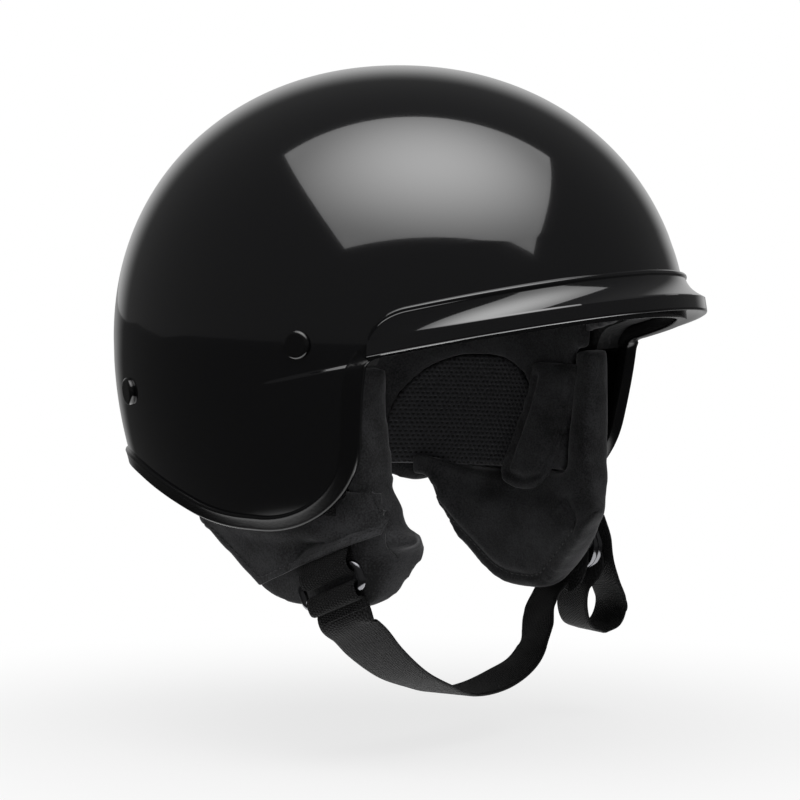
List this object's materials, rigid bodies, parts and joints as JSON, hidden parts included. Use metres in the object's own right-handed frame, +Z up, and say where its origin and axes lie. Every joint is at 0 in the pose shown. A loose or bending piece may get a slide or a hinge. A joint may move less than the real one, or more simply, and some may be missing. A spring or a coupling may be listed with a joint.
{
  "type": "half shell motorcycle helmet",
  "caption": "Open half shell motorcycle helmet with a short peak, padded ear flaps that sway, and a webbing chin strap on rings.",
  "frame": {"origin": "middle of the shell at its widest level, inside the head cavity", "axes": "+Z up through the crown, -Y out of the front over the peak, +X towards the wearer's left"},
  "size_m": [0.2319, 0.2655, 0.265],
  "materials": {
    "gloss_black": "gloss",
    "trim_black": "satin",
    "foam_black": "matte",
    "suede_black": "matte",
    "mesh_black": "matte",
    "webbing_black": "matte",
    "ring_steel": "polished",
    "black_steel": "satin"
  },
  "bodies": {
    "root": {"outer_shell": "gloss_black", "peak": "gloss_black", "edge_trim": "trim_black", "brow_trim": "trim_black", "eps_liner": "foam_black", "crown_pad": "suede_black", "brow_pad": "suede_black", "comfort_liner": "suede_black", "mesh_panel_left": "mesh_black", "mesh_panel_right": "mesh_black", "temple_pad_left": "suede_black", "temple_pad_right": "suede_black", "neck_roll": "suede_black", "flap_anchor_left": "suede_black", "flap_anchor_right": "suede_black", "hanger_upper_left": "webbing_black", "hanger_upper_right": "webbing_black", "strap_rivets": "black_steel", "rivet_washers": "black_steel"},
    "right_flap": {"ear_flap_right": "suede_black", "flap_cover_right": "suede_black", "hanger_lower_right": "webbing_black"},
    "left_flap": {"ear_flap_left": "suede_black", "flap_cover_left": "suede_black", "hanger_lower_left": "webbing_black"},
    "right_ring": {"slip_ring": "ring_steel"},
    "left_rings": {"d_ring_inner": "ring_steel", "d_ring_outer": "ring_steel"},
    "chin_strap": {"chin_strap": "webbing_black", "snap_stud": "black_steel"},
    "strap_end": {"strap_tail": "webbing_black", "snap_socket": "black_steel"}
  },
  "joints": [
    {"name": "right_flap_sway", "type": "hinge", "parent": "root", "child": "right_flap", "pos_m": [-0.0885, 0, -0.075], "axis": [0, 1, 0], "range_deg": [-6, 6]},
    {"name": "left_flap_sway", "type": "hinge", "parent": "root", "child": "left_flap", "pos_m": [0.0885, 0, -0.075], "axis": [0, 1, 0], "range_deg": [-4.5, 4.5]},
    {"name": "right_ring_turn", "type": "hinge", "parent": "right_flap", "child": "right_ring", "pos_m": [-0.092, -0.03239, -0.08918], "axis": [0, 1, 0], "range_deg": [-3, 3]},
    {"name": "chin_strap_turn", "type": "hinge", "parent": "right_ring", "child": "chin_strap", "pos_m": [-0.092, -0.03621, -0.09842], "axis": [0, 1, 0], "range_deg": [-3, 3]},
    {"name": "left_rings_turn", "type": "hinge", "parent": "left_flap", "child": "left_rings", "pos_m": [0.0938, -0.02309, -0.08918], "axis": [0, 1, 0], "range_deg": [-2.25, 2.25]},
    {"name": "strap_end_swing", "type": "hinge", "parent": "chin_strap", "child": "strap_end", "pos_m": [0.10721, -0.03152, -0.1328], "axis": [0.4226, 0.9063, 0], "range_deg": [0, 50]}
  ],
  "couplings": [
    {"joint": "left_flap_sway", "follows": "right_flap_sway", "ratio": 0.75},
    {"joint": "right_ring_turn", "follows": "right_flap_sway", "ratio": -0.5},
    {"joint": "chin_strap_turn", "follows": "right_flap_sway", "ratio": -0.5},
    {"joint": "left_rings_turn", "follows": "right_flap_sway", "ratio": -0.375}
  ]
}
